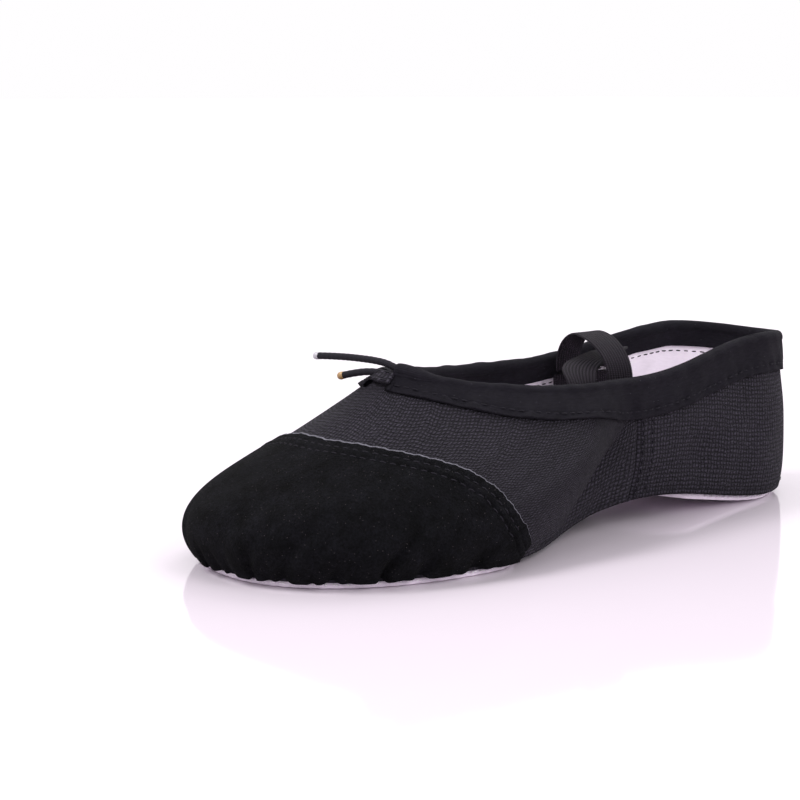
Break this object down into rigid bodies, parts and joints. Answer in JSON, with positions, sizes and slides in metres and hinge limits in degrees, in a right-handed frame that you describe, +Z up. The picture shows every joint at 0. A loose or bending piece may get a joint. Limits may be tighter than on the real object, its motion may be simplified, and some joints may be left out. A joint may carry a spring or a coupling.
{
  "type": "ballet slipper",
  "caption": "Left canvas split-sole ballet slipper with a suede toe cap, drawstring topline and crossed elastic instep straps; heel, straps and drawstring ends move.",
  "frame": {"origin": "centre of the slipper's bounding box, on the floor", "axes": "+Z up, +Y from the toe to the heel, +X towards the outer side of the left foot"},
  "size_m": [0.0966, 0.2349, 0.0595],
  "materials": {
    "canvas": "matt black plain-weave cotton canvas",
    "black_suede": "black suede with a short fuzzy nap",
    "cotton_lining": "soft white cotton twill",
    "sole_suede": "pale suede, faintly pink",
    "foam": "thin foam padding",
    "binding_cloth": "fine black cotton tape",
    "thread": "black polyester sewing thread",
    "cord": "round braided cotton cord",
    "sealed_tip": "heat-sealed cord end, slightly shiny",
    "frayed_tip": "heat-sealed cord end, browned",
    "elastic": "ribbed woven elastic, black"
  },
  "bodies": {
    "forefoot": {"vamp_canvas": "canvas", "toe_cap": "black_suede", "vamp_lining": "cotton_lining", "forefoot_sole": "sole_suede", "forefoot_pad": "foam", "toe_cap_stitching": "thread", "forefoot_sole_stitching": "thread", "throat_bartack": "binding_cloth", "throat_tab": "canvas", "topline_binding": "binding_cloth", "binding_stitching": "thread", "drawstring": "cord", "bottom_canvas": "canvas", "sock_lining": "cotton_lining", "feather_stitching": "thread"},
    "heel": {"outer_quarter": "canvas", "inner_quarter": "canvas", "outer_quarter_lining": "cotton_lining", "inner_quarter_lining": "cotton_lining", "heel_sole": "sole_suede", "heel_pad": "foam", "heel_sole_stitching": "thread", "side_seam_stitching": "thread", "back_seam_stitching": "thread", "front_strap_ends": "elastic", "rear_strap_ends": "elastic", "strap_stitching": "thread"},
    "front_strap": {"front_strap": "elastic"},
    "rear_strap": {"rear_strap": "elastic"},
    "long_end": {"drawstring_long_end": "cord", "long_end_tip": "sealed_tip"},
    "short_end": {"drawstring_short_end": "cord", "short_end_tip": "frayed_tip"}
  },
  "joints": [
    {"name": "sole_flex", "type": "hinge", "parent": "forefoot", "child": "heel", "pos_m": [0, -0.018, 0.003], "axis": [1, 0, 0], "range_deg": [0, 30], "deforming": ["vamp_canvas", "vamp_lining", "topline_binding", "binding_stitching", "drawstring", "bottom_canvas", "sock_lining", "feather_stitching"]},
    {"name": "rear_strap_swing", "type": "hinge", "parent": "heel", "child": "rear_strap", "pos_m": [0.02284, 0.024, 0.045], "axis": [-0.9168, 0.3994, 0], "range_deg": [-20, 20], "stiffness_Nm_per_rad": 0.002},
    {"name": "front_strap_swing", "type": "hinge", "parent": "heel", "child": "front_strap", "pos_m": [0.02319, 0.0065, 0.045], "axis": [-0.612, 0.7909, 0], "range_deg": [-20, 20]},
    {"name": "long_end_pull", "type": "slide", "parent": "forefoot", "child": "long_end", "axis": [-1, 0, 0], "range_m": [0, 0.003]},
    {"name": "short_end_pull", "type": "slide", "parent": "forefoot", "child": "short_end", "axis": [-1, 0, 0], "range_m": [0, 0.003]}
  ],
  "couplings": [
    {"joint": "front_strap_swing", "follows": "rear_strap_swing", "ratio": 1}
  ]
}
